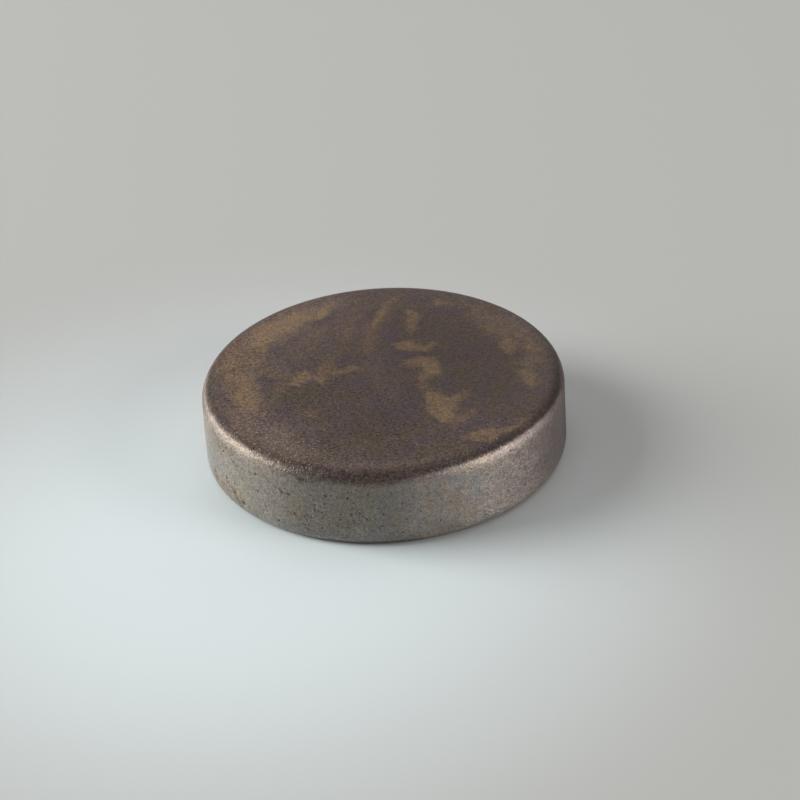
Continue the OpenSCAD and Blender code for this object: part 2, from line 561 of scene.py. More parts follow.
VIOLET = {
    "left eye": (1.15, (-6.35, 0.4, 0.22), (-5.95, 0.0, 0.38), (-5.95, -0.6, 0.25)),
    "left eye, lower": (0.7, (-6.3, -0.9, 0.2), (-6.4, -1.7, 0.2)),
    "left field": (0.55, (-5.7, 3.5, 0.4), (-5.1, 3.0, 0.4), (-4.2, 4.6, 0.3)),
    "left field, lower": (0.55, (-4.9, 2.3, 0.3), (-4.5, 1.7, 0.4), (-4.0, 1.2, 0.2)),
    "left edge": (0.8, (-8.6, -0.9, 0.2), (-8.2, -1.7, 0.3), (-8.0, -2.2, 0.15)),
    "left band": (1.0, (-8.6, 0.9, 0.1), (-8.7, -0.3, 0.15)),
    "far left spot": (1.0, (-3.35, 6.4, 0.25), (-3.3, 5.9, 0.3)),
    "far left spot 2": (0.9, (-5.0, 5.6, 0.16), (-5.1, 6.4, 0.14)),
    "far left spot 3": (0.9, (-5.8, 5.4, 0.1), (-6.2, 4.5, 0.12)),
    "far left spot 4": (0.8, (-4.1, 6.3, 0.1), (-3.9, 5.8, 0.12)),
    "far left": (0.6, (-2.0, 7.8, 0.25), (-2.5, 7.0, 0.2), (-2.7, 5.6, 0.3)),
    "centre left": (0.6, (-2.6, 2.9, 0.35), (-1.6, 3.0, 0.3), (-1.8, 2.0, 0.2)),
    "under the streak": (0.8, (-2.3, -0.5, 0.3), (-1.2, -0.7, 0.5), (-0.9, -1.6, 0.4)),
    "right of the far streak": (
        0.9, (0.8, 5.1, 0.25), (0.6, 4.2, 0.35), (0.5, 3.4, 0.25), (0.6, 1.6, 0.2), (0.9, 0.8, 0.2),
    ),
    "centre": (0.6, (-0.4, 0.6, 0.25)),
    "between bar and hook": (0.9, (0.9, 2.1, 0.25), (2.0, 1.75, 0.25), (3.0, 1.8, 0.2)),
    "far right": (0.8, (2.9, 6.4, 0.25), (3.6, 6.1, 0.3), (4.8, 6.1, 0.25)),
    "far edge": (0.7, (2.2, 8.2, 0.25), (2.6, 7.4, 0.25)),
    "left of centre": (0.6, (-5.4, 3.0, 0.4), (-4.2, 3.3, 0.3)),
    "beside the hook": (0.85, (3.7, -0.7, 0.3), (3.3, -1.2, 0.35), (3.4, -1.9, 0.25)),
    "hook, inner": (0.75, (1.2, -1.1, 0.35)),
    "left of the boot": (
        0.75, (1.5, -2.2, 0.4), (1.1, -3.3, 0.7), (1.3, -4.4, 0.6), (0.1, -3.8, 0.45), (-0.4, -2.9, 0.4),
    ),
    "boot, outer": (0.8, (4.6, -3.0, 0.2), (4.3, -3.5, 0.22), (3.9, -4.3, 0.12)),
    "past the boot": (0.8, (4.9, -4.2, 0.35), (5.3, -4.9, 0.35), (4.4, -5.4, 0.3), (3.6, -6.1, 0.2)),
    "near right": (0.75, (2.0, -6.6, 0.3), (2.8, -6.3, 0.2)),
    "near right spot": (0.9, (3.8, -7.3, 0.22)),
    "near left": (0.6, (-4.9, -3.6, 0.35), (-5.6, -3.1, 0.2), (-6.6, -5.0, 0.3)),
    "lower rim": (0.7, (-7.0, -5.1, 0.2), (-6.3, -5.9, 0.2)),
    "right side": (0.8, (7.6, 2.4, 0.2), (7.6, 1.2, 0.25), (6.3, 1.0, 0.2)),
}
WARM = {
    "upper left": (0.95, (-2.2, 7.7, 0.5), (-4.3, 6.7, 1.1), (-6.0, 5.1, 1.3), (-7.2, 3.8, 1.0)),
    "far left field": (0.5, (-4.6, 3.4, 0.9), (-3.4, 4.8, 0.9), (-1.6, 6.6, 0.7)),
    "left": (0.95, (-7.2, 3.8, 1.0), (-7.7, 1.8, 1.1), (-7.4, 0.0, 1.1), (-7.2, -2.0, 0.9)),
    "lower left": (0.8, (-7.2, -2.0, 0.9), (-7.3, -4.0, 0.8), (-6.2, -5.6, 0.8), (-4.6, -7.0, 0.8)),
    "far right": (
        0.85, (4.6, 6.6, 0.5), (6.2, 4.8, 0.8), (7.4, 3.2, 1.0), (8.1, 1.6, 0.7), (7.8, -1.4, 0.4),
    ),
    "streak": (0.35, (-4.8, 0.3, 0.5), (-3.0, 1.0, 0.7), (-1.2, 0.9, 0.4)),
}
OLIVE_PLACES = {
    "left of centre": (0.9, (-5.1, -1.5, 0.6), (-3.7, -1.4, 0.7)),
    "lower left": (0.7, (-5.6, -4.9, 0.5), (-4.6, -5.6, 0.4)),
    "near middle": (0.65, (-2.0, -6.2, 0.4), (0.6, -6.4, 0.4)),
    "right": (0.5, (6.2, -2.6, 0.7)),
}
PALE = {
    "lower left": (1.0, (-6.2, -4.2, 0.4), (-5.5, -5.0, 0.65), (-6.0, -5.9, 0.4)),
    "lower left, inner": (0.6, (-3.9, -4.6, 0.3), (-3.3, -5.0, 0.3)),
    "left of the near rim": (0.5, (-3.8, -7.4, 0.3)),
    "left": (0.5, (-7.8, -3.4, 0.4), (-7.4, -4.6, 0.4)),
    # the near rim entry is a painted reflection: a faint lighter line along the front edge of the face,
    # where it starts to round off
    "near rim": (
        0.75, (-4.6, -7.5, 0.25), (-2.4, -8.5, 0.25), (-0.4, -8.75, 0.25), (0.8, -8.7, 0.22),
        (2.6, -8.35, 0.12),
    ),
    "near right": (0.6, (2.0, -6.95, 0.3)),
    "far left": (0.7, (-1.3, 4.6, 0.35), (-0.6, 5.2, 0.2)),
    "middle left": (0.6, (-5.8, 2.1, 0.4), (-5.3, 0.9, 0.3)),
}
RUST_ON_WALL = {  # degrees round from the front, millimetres up, millimetres
    "far left, low": (0.6, (-71.3, 1.0, 0.2), (-69.5, 0.8, 0.2)),
    "streak": (0.45, (-62.0, 1.6, 0.12), (-61.0, 1.2, 0.12)),
    "streak, middle": (0.8, (-57.6, 1.05, 0.14), (-56.0, 0.8, 0.16)),
    "streak, end": (1.0, (-52.7, 0.75, 0.13)),
    "along the foot, left": (0.4, (-66, 0.75, 0.2), (-60, 0.7, 0.2)),
    "under the rim": (0.4, (-66, 3.5, 0.25), (-56, 3.6, 0.2)),
    "near the front 1": (0.5, (-31, 1.5, 0.1), (-33, 1.45, 0.1)),
    "near the front 2": (0.7, (-28, 3.75, 0.14), (-24, 3.7, 0.08)),
    "along the foot": (0.45, (5, 0.6, 0.1), (12, 0.65, 0.12), (24, 0.6, 0.1)),
    "far right": (0.5, (84, 3.6, 0.7), (84, 0.6, 0.7)),
}
WARM_ON_WALL = {
    "left, low": (0.75, (-74, 1.3, 0.5), (-64, 1.2, 0.5), (-56, 0.9, 0.35)),
    "left, upper": (0.4, (-70, 3.2, 0.6), (-58, 2.8, 0.5), (-50, 2.6, 0.4)),
    "front left": (0.55, (-42, 3.4, 0.3), (-33, 3.0, 0.4), (-32, 1.5, 0.3)),
    "front 1": (0.3, (-26, 2.6, 0.15), (-26, 1.6, 0.15)),
    "front 2": (0.35, (-21.5, 2.6, 0.15), (-21.5, 1.0, 0.15)),
    "front 3": (0.3, (-12, 3.6, 0.3), (-12, 2.0, 0.25)),
    "under the rim, right": (0.4, (2, 3.7, 0.2), (10, 3.7, 0.2)),
    "right, low": (0.35, (24, 1.3, 0.3), (31, 1.4, 0.3)),
    "far right": (0.8, (78, 3.3, 0.5), (80, 2.2, 0.7)),
}
# Blue-grey places on the wall. Those along the foot, low at the front and far left are a painted reflection
# of the blue-green floor.
BLUE_ON_WALL = {
    "front": (0.8, (-5.5, 2.9, 0.2), (-3.0, 2.9, 0.2)),
    "front 2": (0.4, (1, 2.8, 0.3), (5, 2.3, 0.25)),
    "front right": (0.75, (20, 3.4, 0.25), (26, 3.3, 0.4), (29, 2.7, 0.4), (25, 2.1, 0.2)),
    "front, low": (0.4, (-14, 1.2, 0.3), (-8, 1.6, 0.35)),
    "right": (0.35, (36, 3.2, 0.3), (40, 2.4, 0.3)),
    "foot": (0.65, (-50, 0.4, 0.2), (-36, 0.5, 0.25), (-12, 0.6, 0.35), (-2, 0.8, 0.4), (6, 0.4, 0.2)),
    "foot, right": (0.45, (30, 0.5, 0.25), (42, 0.5, 0.25)),
    "far left": (0.6, (-92, 1.8, 1.4), (-78, 1.8, 1.3)),
}
print(len(BROWN), "brown,", len(VIOLET), "violet on the face;", len(RUST_ON_WALL), "rusty on the wall")

# %% [markdown]
# ## Wear as depth
#
# Waves, pits and nicks are real hollows. A mesh that is only pushed inwards stays inside the disc's true
# size, so one depth is added up from several causes: a slow waviness from grinding, a finer unevenness from
# tumbling, the grain, pits, and a few nicks along the rim. Each takes away between a thousandth and a few
# hundredths of a millimetre.

# %% Places on the skin
tilt = np.arccos(np.clip(facing[:, 2], -1, 1))
on_wall = np.sin(tilt) ** 4
degrees = np.degrees(np.arctan2(places[:, 0], -places[:, 1]))
ALONG = math.radians(1) * RADIUS / MM  # millimetres of wall for one degree
flat_face = places[:, :2] / MM
flat_wall = np.stack([degrees * ALONG, places[:, 2] / MM], -1)


def wall_marks(marks):
    """The same marks with their angles turned into millimetres along the wall."""
    return {name: (s, *[(a * ALONG, h, r) for a, h, r in dabs]) for name, (s, *dabs) in marks.items()}


print(f"one degree is {ALONG:.3f} mm of wall")

# %% Specks and nicks that have a place
SPECKS = (  # degrees, millimetres up, and radius in millimetres
    (-70.5, 1.1, 0.12), (-68.5, 1.55, 0.11), (-67.0, 3.4, 0.08), (-65.0, 3.1, 0.10), (-64.0, 0.9, 0.09),
    (-62.2, 3.15, 0.11), (-61.5, 1.6, 0.12), (-61.5, 0.75, 0.09), (-60.0, 3.6, 0.08), (-58.7, 1.2, 0.08),
    (-58.2, 3.25, 0.08), (-57.0, 1.0, 0.12), (-56.3, 3.0, 0.12), (-56.0, 3.5, 0.09), (-55.6, 0.75, 0.09),
    (-54.6, 0.6, 0.08), (-53.2, 3.4, 0.07), (-52.5, 0.75, 0.14), (-50.0, 1.5, 0.06), (-45.8, 3.75, 0.07),
    (-45.5, 3.1, 0.10), (-45.0, 2.1, 0.10), (-42.0, 1.3, 0.07), (-40.0, 3.0, 0.06), (-37.3, 0.75, 0.09),
    (-36.2, 2.75, 0.07), (-35.2, 2.62, 0.09), (-33.4, 1.5, 0.09), (-32.7, 2.62, 0.11), (-31.0, 1.5, 0.12),
    (-30.5, 1.45, 0.07), (-28.0, 0.98, 0.07), (-27.8, 1.45, 0.07), (-27.2, 1.28, 0.07), (-26.6, 1.6, 0.06),
    (-26.6, 0.75, 0.07), (-26.2, 1.05, 0.06), (-25.2, 1.5, 0.08), (-25.0, 2.88, 0.06), (-24.0, 2.0, 0.10),
    (-23.8, 2.33, 0.08), (-21.8, 0.95, 0.08), (-21.5, 1.92, 0.08), (-21.4, 1.58, 0.07), (-20.6, 2.5, 0.08),
    (-20.0, 3.0, 0.11), (-16.7, 1.25, 0.08), (-16.4, 3.0, 0.06), (-16.0, 1.6, 0.08), (-15.7, 1.95, 0.07),
    (-14.0, 3.1, 0.08), (-13.3, 1.15, 0.07), (-12.9, 2.98, 0.10), (-12.2, 2.0, 0.09), (-11.8, 2.4, 0.07),
    (-11.4, 2.7, 0.08), (-11.4, 1.5, 0.06), (-9.6, 2.1, 0.09), (-7.6, 1.68, 0.10), (-6.8, 3.25, 0.09),
    (-6.0, 1.0, 0.07), (-5.0, 1.7, 0.07), (-4.0, 2.4, 0.06), (-2.5, 2.0, 0.09), (-3.0, 1.3, 0.07),
    (0.5, 3.2, 0.07), (0.6, 1.3, 0.08), (3.5, 2.6, 0.08), (4.5, 1.6, 0.07), (7.0, 2.9, 0.06),
    (9.0, 2.0, 0.07), (12.0, 3.0, 0.06), (15.0, 1.2, 0.06), (18.5, 2.2, 0.06), (36.0, 2.9, 0.07),
    (38.0, 2.0, 0.06), (45.0, 2.6, 0.06), (52.0, 1.6, 0.06),
)
NICKS = {
    "left": (1.0, (-28.6, 3.76, 0.10), (-27.2, 3.78, 0.09)),
    "left 2": (0.8, (-25.8, 3.7, 0.07)),
    "left 3": (0.7, (-24.0, 3.68, 0.07)),
    "right": (0.9, (41.0, 3.8, 0.07), (42.3, 3.72, 0.08)),
    "right 2": (0.8, (26.0, 3.74, 0.07)),
    "right 3": (0.5, (34.0, 4.0, 0.05)),
}
nearest = np.full(len(places), 99.0)
to_speck = np.full((len(places), 3), 9.0)  # millimetres along and up from the nearest speck, and its radius
for a, h, r in SPECKS:
    gap = flat_wall - (a * ALONG, h)
    closer = np.hypot(*gap.T) < nearest
    to_speck[closer] = np.column_stack([gap, np.full(len(gap), r)])[closer]
    nearest = np.minimum(nearest, np.hypot(*gap.T))
specks = np.clip(1.6 - nearest / to_speck[:, 2], 0, 1) * on_wall
jagged = frayed(flat_wall, places, reach=0.03, size=0.12 * MM, seed=61)
nicks = painted(jagged, wall_marks(NICKS), 0.3) * on_wall
print(len(SPECKS), "specks and", len(NICKS), "nicks")

# %% Depth of wear
LEAST = 0.006 * MM
WAVE, TUMBLE, GRAIN = (0.006, 2.6), (0.0035, 0.55), (0.002, 0.24)  # depth and size across in millimetres
PIT = 0.018 * MM
NICK = 0.045 * MM


def uneven(kind, seed):
    """Depth that wanders between none and the full depth of its kind, by noise of its size."""
    deep, size = kind
    return deep * MM * (0.5 + 0.5 * noise(places, size * MM, seed))


broad_pits = pits(places, size=0.55 * MM, share=0.22, seed=11) * (0.2 + 0.8 * on_wall)
sharp_pits = np.clip(2 * specks - 0.8, 0, 1)
depth = LEAST + uneven(WAVE, 2) + uneven(TUMBLE, 3) * (0.4 + 0.6 * np.sin(tilt)) + uneven(GRAIN, 4)
depth += PIT * np.maximum(broad_pits, sharp_pits) + NICK * np.clip(2 * nicks - 0.7, 0, 1)
worn = places - facing * depth[:, None]
print(f"wear from {depth.min() / MM:.4f} to {depth.max() / MM:.4f} mm deep")

# %% [markdown]
# ## Into Blender
#
# The three grids are joined by sharing the points of their borders, so the skin is closed from the start
# and nothing has to be merged. The numbers go into the mesh as whole arrays.

# %% Faces
def quads(grid):
    """Four point numbers for every cell of a grid, anticlockwise as its first index runs right, its second
    up."""
    return np.stack([grid[:-1, :-1], grid[1:, :-1], grid[1:, 1:], grid[:-1, 1:]], -1).reshape(-1, 4)


closed_rings = np.hstack([rings, rings[:, :1]])
faces = np.vstack([quads(top_grid), quads(bottom_grid)[:, ::-1], quads(closed_rings)])


def mesh_from(name, points, cells):
    """Mesh of four-sided faces: points, then corner numbers, then where each face starts."""
    mesh = bpy.data.meshes.new(name)
    mesh.vertices.add(len(points))
    mesh.vertices.foreach_set("co", points.ravel())
    mesh.loops.add(cells.size)
    mesh.loops.foreach_set("vertex_index", cells.ravel())
    mesh.polygons.add(len(cells))
    mesh.polygons.foreach_set("loop_start", np.arange(0, cells.size, 4))
    mesh.polygons.foreach_set("use_smooth", np.ones(len(cells), bool))
    mesh.update(calc_edges=True)
    mesh.validate()
    return mesh


skin = bpy.data.objects.new("magnet_skin", mesh_from("magnet_skin", worn, faces))
bpy.context.collection.objects.link(skin)
print(f"{len(faces)} faces, {2 * len(faces)} triangles")

# %% Volume test: a closed skin that faces outwards holds a positive volume
a, b, c, d = (worn[faces[:, k]] for k in range(4))
volume = (np.einsum("ij,ij->i", a, np.cross(b, c)) + np.einsum("ij,ij->i", a, np.cross(c, d))).sum() / 6
print(f"volume {volume / MM**3:.1f} cubic millimetres")

# %% [markdown]
# ## Colour fields on the points
#
# The drawn marks are stored on the skin's points as soft fields. The finish sharpens them with fine noise,
# so an outline is finer than the mesh. The film field says where the brown-black film still covers the
# metal: on the faces, ending at the rims, where hands and other parts have rubbed it off. What changes only
# round the disc is listed as stops: degrees from the front, positive to the right, and the value there.

# %% Values that change round the disc
FILM_EDGE = (  # the tilt in degrees at which the film ends
    (-90, 47), (-75, 44), (-60, 41), (-45, 42), (-32, 50), (-22, 62), (-10, 72), (0, 71), (8, 60), (16, 52),
    (25, 46.5), (35, 45), (50, 44), (62, 50), (75, 58), (90, 67), (120, 60), (170, 52), (230, 50),
)
WALL_PAINTED_SHEEN = (  # how bright the bare wall is painted round the disc: a painted reflection, lighter where the wall mirrors the bright floor and softboxes, darker where it mirrors shade
    (-100, 1.4), (-80, 1.68), (-70, 1.31), (-52, 1.20), (-42, 1.11), (-30, 0.79), (-20, 0.66), (0, 0.65),
    (10, 0.88), (20, 1.065), (30, 1.27), (42, 1.29), (52, 1.14), (62, 0.87), (72, 0.79), (85, 0.36),
    (110, 0.85), (150, 1.1), (200, 1),
)
RIM_PAINTED_HIGHLIGHT = (  # how much brighter the upper rim is painted than the wall under it, below 1 for darker: a painted highlight that shapes the two bright streaks
    (-90, 0.72), (-80, 0.65), (-72, 0.75), (-60, 0.83), (-52, 0.93), (-44, 0.93), (-36, 0.92), (-25, 0.97),
    (-10, 1.0), (8, 1.1), (16, 0.92), (22, 0.86), (30, 0.94), (40, 0.99), (50, 1.0), (60, 1.2), (75, 1.2),
    (90, 0.62), (180, 1.0),
)
FOOT_PAINTED_REFLECTION = (  # how much brighter the wall is painted at its foot, negative for darker: a painted reflection of the floor next to it
    (-90, 0.16), (-78, 0.12), (-70, -0.08), (-58, -0.06), (-50, 0.03), (-10, 0.1), (20, 0.06), (30, 0.12),
    (42, 0.1), (50, 0.04), (60, 0.14), (75, 0.05), (100, 0), (180, 0.1),
)
ROSY = (  # how rosy the bare metal is
    (-90, 0), (-15, 0), (15, 0.25), (30, 0.36), (45, 0.64), (60, 1), (100, 1), (150, 0.4), (200, 0),
)
GRIT_ON_WALL = (  # how sandy the wall looks
    (-90, 0.6), (-70, 0.8), (-50, 0.8), (-30, 0.6), (-10, 0.5), (10, 0.5), (25, 0.7), (38, 1.0), (50, 0.9),
    (65, 0.5), (90, 0.3), (180, 0.5),
)
SPOTTY = (  # how many small rust spots there are
    (-90, 0.3), (-72, 0.9), (-56, 0.8), (-45, 0.45), (-34, 0.75), (-22, 1.0), (0, 0.9), (8, 0.6),
    (20, 0.35), (45, 0.3), (70, 0.15), (110, 0.3), (150, 0.6), (200, 0.5),
)
RING_PAINTED_SHADE = (  # how much darker the film is painted just inside the rim, negative for lighter: a painted dark reflection of the dim room
    (-90, 0.36), (-60, 0.38), (-45, 0.33), (-30, 0.26), (-10, 0.1), (10, 0.0), (30, -0.1), (60, -0.1),
    (80, 0), (180, 0.1),
)
RIM_PAINTED_SHADE = (  # how much darker the film is painted on the rim: a painted dark reflection of the dim room above and in front
    (-90, 0), (-30, 0), (-12, 0.5), (0, 0.5), (20, 0.3), (40, 0.3), (60, 0.6), (75, 1.3), (110, 1.3),
    (150, 0.5), (180, 0.2),
)
PAINTED_GLINTS = (  # how strongly bright grains are painted near the edge of the face: painted glints of the softboxes
    (-90, 0.2), (-70, 0.7), (-58, 1), (-30, 1), (-12, 0.5), (10, 0.25), (30, 0.5), (50, 0.4), (75, 0.1),
    (180, 0.2),
)


def round_the_disc(stops):
    """Value at every point, carried evenly between stops that are given round the disc."""
    at, value = np.array(stops).T
    return np.interp(degrees, at, value, period=360)


def hump(value, middle, reach):
    """A rise from 0 to 1 and back to 0 round a middle: e to the power of less the square of the distance to
    the middle over the reach."""
    return np.exp(-(((value - middle) / reach) ** 2))


print("the film ends at a tilt of", round(float(round_the_disc(FILM_EDGE).mean()), 1), "degrees on average")

# %% Fields of the drawn marks
near_face = np.clip((np.cos(tilt) - 0.3) / 0.5, 0, 1) * (places[:, 2] > HEIGHT / 2)
loose = frayed(flat_face, places, reach=0.14, size=0.5 * MM, seed=41)
looser = frayed(flat_face, places, reach=0.4, size=1.1 * MM, seed=45)
looser = frayed(looser, places, reach=0.16, size=0.4 * MM, seed=49)
loose_wall = frayed(flat_wall, places, reach=0.07, size=0.25 * MM, seed=51)


def face_and_wall(on_face, face_soft, up_wall, wall_soft):
    """Field of some marks on the upper face and of others on the wall, each with its own soft width."""
    wall_field = painted(loose_wall, wall_marks(up_wall), wall_soft) * on_wall
    return painted(loose, on_face, face_soft) * near_face + wall_field


gold_above = np.maximum(painted(loose, GOLD, 0.5), painted(looser, HAZY_GOLD, 0.75)) * near_face
gold_below = np.clip(0.35 + 1.3 * noise(places, 2.4 * MM, seed=71), 0, 1) * (facing[:, 2] < -0.5)
fields = {
    "gold": gold_above + 0.9 * gold_below,
    "brown": face_and_wall(BROWN, 0.7, RUST_ON_WALL, 0.3),
    "violet": face_and_wall(VIOLET, 0.6, BLUE_ON_WALL, 0.7),
    "warm": face_and_wall(WARM, 1.6, WARM_ON_WALL, 1.0),
    "pale": painted(loose, PALE, 0.9) * near_face,
    "olive": painted(loose, OLIVE_PLACES, 1.0) * near_face,
    "nick": nicks,
}
print("drawn fields:", list(fields))

# %% Fields of the film, with painted light and shade
FILM_SOFT = 24  # degrees of tilt over which the film gives way to bare metal
# The second number paints the face lighter towards the left: a painted reflection of the left softbox.
FILM_LEVEL, FILM_PAINTED_ACROSS, FILM_OUTWARDS = 0.93, -0.013, 0.0025  # lightness, more per mm and per square mm
FILM_PATCHES = (  # how much lighter, negative for darker, across, along, and reach in millimetres
    (0.14, -4.6, 4.6, 2.8), (-0.11, 4.8, 0.6, 2.6), (-0.07, -0.3, -5.0, 2.0), (0.07, -7.6, -2.5, 2.5),
    (0.08, 5.0, -5.2, 1.6), (-0.09, 4.4, 4.8, 1.8), (0.1, -5.8, 1.8, 1.0), (0.07, 0.2, -1.2, 1.2),
    (-0.1, -2.8, -6.5, 1.3), (0.09, 6.8, 5.2, 1.2), (-0.14, 5.4, -7.3, 1.5), (-0.13, -5.95, -0.1, 0.7),
    (0.22, -3.9, -3.4, 0.4), (0.08, 2.9, -3.6, 0.9), (0.12, 4.0, -4.7, 0.5), (0.06, 2.8, 0.5, 0.6),
    (0.1, -3.4, 6.8, 0.6), (-0.08, 0.2, -6.6, 1.3), (-0.07, 5.0, -6.5, 0.7), (-0.09, -2.4, 1.0, 0.9),
    (-0.12, 2.0, 5.3, 1.3), (-0.08, -2.3, 5.3, 1.2), (0.19, -5.5, -4.9, 1.2), (0.1, 2.7, -0.2, 1.0),
    (0.07, -5.2, 0.0, 1.0), (0.13, -2.6, 8.2, 1.5), (0.06, -2.6, 2.4, 0.9), (0.06, -5.4, -6.2, 1.5),
)
DARK_SHARE, DARK_AT = 0.32, (42, 20)  # painted shade on the rim: how much darker, and the middle tilt and its reach
RING_AT = (24, 13)  # painted shade just inside the rim: the middle tilt and its reach

rim_top = (facing[:, 2] > 0.01) & (places[:, 2] > HEIGHT / 2)
steep = np.degrees(tilt)
far_out = np.hypot(*flat_face.T)
off_flat = np.degrees(np.minimum(tilt, math.pi - tilt))
beyond = off_flat - round_the_disc(FILM_EDGE) - 3.5 * noise(places, 0.7 * MM, seed=5)
fields["film"] = np.clip(0.5 - beyond / FILM_SOFT, 0, 1)
tone = FILM_LEVEL + FILM_PAINTED_ACROSS * flat_face[:, 0] + FILM_OUTWARDS * far_out**2
tone += 0.05 * noise(places, 1.6 * MM, seed=8)
for more, x, y, reach in FILM_PATCHES:
    tone += more * hump(np.hypot(*(flat_face - (x, y)).T), 0, reach)
# painted shade: the film is darker on the rim, where the rim mirrors the dim room
tone *= 1 - DARK_SHARE * rim_top * hump(steep, *DARK_AT) * round_the_disc(RIM_PAINTED_SHADE)
# painted shade: a darker ring on the film just inside the rim, a painted dark reflection
fields["tone"] = tone * (1 - rim_top * hump(steep, *RING_AT) * round_the_disc(RING_PAINTED_SHADE))
print(f"film tone from {fields['tone'].min():.2f} to {fields['tone'].max():.2f}")

# %% Fields of the bare metal, with its painted sheen and glints
PAINTED_HIGHLIGHT_AT = (60, 22)  # painted highlight on the upper rim: the middle tilt and its reach
PAINTED_LINE_SHARE, PAINTED_LINE_AT = 0.22, (51, 7)  # a painted highlight, a brighter line where the film ends: how much, tilt and reach
LOW_SHARE, LOW_FROM, LOW_OVER = 0.3, 95, 20  # painted reflection of the bright floor on the lower rim: how much, from which tilt, over how much
LOW_AT = (-8, 30)  # degrees from the front, and the reach
FOOT_HIGH = 1.4 * MM
PAINTED_GLINTS_AT = (8.4, 1.9)  # painted glints: millimetres from the middle of the face, and the reach

foot = np.clip(1.25 - places[:, 2] / FOOT_HIGH, 0, 1) * np.sin(tilt)
# Painted sheen: the bare wall's brightness round the disc is a painted reflection of the floor and
# softboxes, with a little random mottle.
painted_sheen = round_the_disc(WALL_PAINTED_SHEEN)
painted_sheen *= 1 + 0.05 * noise(places, 1.1 * MM, seed=9) + 0.07 * noise(places, 0.5 * MM, seed=19)
# painted reflection of the floor at the foot of the wall
painted_sheen *= 1 + round_the_disc(FOOT_PAINTED_REFLECTION) * foot
# painted highlight along the upper rim
painted_sheen *= 1 + (round_the_disc(RIM_PAINTED_HIGHLIGHT) - 1) * rim_top * hump(steep, *PAINTED_HIGHLIGHT_AT)
# painted highlight: a brighter line where the film ends
painted_sheen *= 1 + PAINTED_LINE_SHARE * rim_top * hump(steep, *PAINTED_LINE_AT)
# painted reflection of the bright floor on the lower rim at the front
painted_sheen *= 1 + LOW_SHARE * np.clip((steep - LOW_FROM) / LOW_OVER, 0, 1) * hump(degrees, *LOW_AT)
grit_above = np.clip(0.45 - (places[:, 0] + places[:, 1]) / (14 * MM), 0, 1)
fields |= {
    "painted_sheen": painted_sheen,
    "grit": near_face * grit_above + (1 - near_face) * round_the_disc(GRIT_ON_WALL),
    "painted_glints": round_the_disc(PAINTED_GLINTS) * hump(far_out, *PAINTED_GLINTS_AT),
    "spotty": round_the_disc(SPOTTY) * on_wall,
    "rosy": round_the_disc(ROSY),
}
for name, values in fields.items():
    skin.data.attributes.new(name, "FLOAT", "POINT").data.foreach_set("value", values.astype(np.float32))
gaps = skin.data.attributes.new("to_speck", "FLOAT_VECTOR", "POINT")
gaps.data.foreach_set("vector", to_speck.astype(np.float32).ravel())
print({name: round(float(values.mean()), 3) for name, values in fields.items()})

# %% [markdown]
# ## Node groups
#
# Three effects are built once each, with named inputs, and are then placed in the finish with their own
# values. "Sharpened" turns a soft field into a mask with a grainy outline. "Sand" gives the grain of
# sintered metal at a chosen size. "Peppered" scatters small round spots.

# %% Helpers for node groups
def group(name, results, **numbers):
    """Empty node group that is given a place and some numbers. With it come the sockets it is given and
    those it gives."""
    made = bpy.data.node_groups.new(name, "ShaderNodeTree")
    made.interface.new_socket("Place", in_out="INPUT", socket_type="NodeSocketVector")
    for label, number in numbers.items():
        socket = made.interface.new_socket(label, in_out="INPUT", socket_type="NodeSocketFloat")
        socket.default_value = number
    for label in results:
        made.interface.new_socket(label, in_out="OUTPUT", socket_type="NodeSocketFloat")
    return made, add(made, "NodeGroupInput").outputs, add(made, "NodeGroupOutput").inputs


def speckle(tree, vector, size, detail=2.0, roughness=0.5):
    """Noise texture with features about one size across, from 0 to 1."""
    scale = maths(tree, "DIVIDE", 1.0, size)
    node = add(tree, "ShaderNodeTexNoise", Vector=vector, Scale=scale, Detail=detail, Roughness=roughness)
    return node.outputs["Fac"]


print("helpers for node groups ready")

# %% Group: sharpened mask
FRAY_COARSE, FRAY_FINE = 0.32 * MM, 0.09 * MM

sharpened, given, gives = group("sharpened", ["Mask"], Field=0.0, Fray=0.35, Softness=0.25)
coarse = maths(sharpened, "SUBTRACT", speckle(sharpened, given["Place"], FRAY_COARSE, 3.0, 0.65), 0.5)
fine = maths(sharpened, "SUBTRACT", speckle(sharpened, given["Place"], FRAY_FINE, 1.0), 0.5)
jitter = maths(sharpened, "MULTIPLY", maths(sharpened, "ADD", coarse, fine), given["Fray"])
moved = maths(sharpened, "ADD", given["Field"], maths(sharpened, "MULTIPLY", jitter, 2.0))
lower, upper = (maths(sharpened, side, 0.5, given["Softness"]) for side in ("SUBTRACT", "ADD"))
plug(sharpened, ramp(sharpened, moved, lower, upper), gives["Mask"])
print("group:", sharpened.name)

# %% Group: sand
CLUMP = 2.8  # size of a clump in grains

sand, given, gives = group("sand", ["Height", "Tone"], Size=0.08 * MM)
grains = speckle(sand, given["Place"], given["Size"], 1.5)
clumps = speckle(sand, given["Place"], maths(sand, "MULTIPLY", given["Size"], CLUMP))
for result, of_grains, of_clumps in (("Height", 1.0, 0.8), ("Tone", 0.6, 0.4)):
    grains_part = maths(sand, "MULTIPLY", grains, of_grains)
    clumps_part = maths(sand, "MULTIPLY", clumps, of_clumps)
    plug(sand, maths(sand, "ADD", grains_part, clumps_part), gives[result])
print("group:", sand.name)

